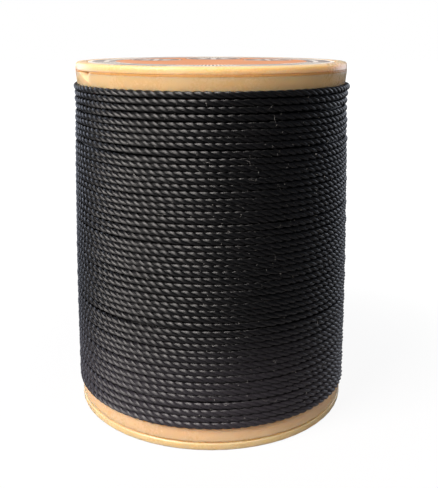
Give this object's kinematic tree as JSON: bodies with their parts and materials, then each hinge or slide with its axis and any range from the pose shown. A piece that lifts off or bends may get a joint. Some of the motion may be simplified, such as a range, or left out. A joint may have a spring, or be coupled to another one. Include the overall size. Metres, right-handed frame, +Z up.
{
  "type": "waxed thread spool",
  "caption": "Upright spool of black waxed leather thread on a hollow barrel with two flanges, each covered by a snap cap whose barbed fingers let it lift to grip the thread's end.",
  "frame": {"origin": "centre of the lower cap's outer face, on the surface that the spool stands on", "axes": "+Z up along the spool's axis, -Y towards the front, +X to the right"},
  "size_m": [0.0454, 0.0454, 0.057],
  "materials": {
    "cream_plastic": "satin moulded plastic, warm cream",
    "black_waxed_thread": "three-ply twisted thread, waxed, low sheen",
    "printed_label": null
  },
  "bodies": {
    "lower_cap": {"lower_snap_cap": "cream_plastic"},
    "spool": {"core_barrel": "cream_plastic", "upper_flange": "cream_plastic", "lower_flange": "cream_plastic", "thread_inner_layers": "black_waxed_thread", "thread_outer_layer": "black_waxed_thread"},
    "upper_cap": {"upper_snap_cap": "cream_plastic", "top_label": "printed_label"}
  },
  "joints": [
    {"name": "lower_cap_snap", "type": "slide", "parent": "lower_cap", "child": "spool", "axis": [0, 0, 1], "range_m": [0, 0.0016]},
    {"name": "upper_cap_snap", "type": "slide", "parent": "spool", "child": "upper_cap", "axis": [0, 0, 1], "range_m": [0, 0.0016]}
  ]
}
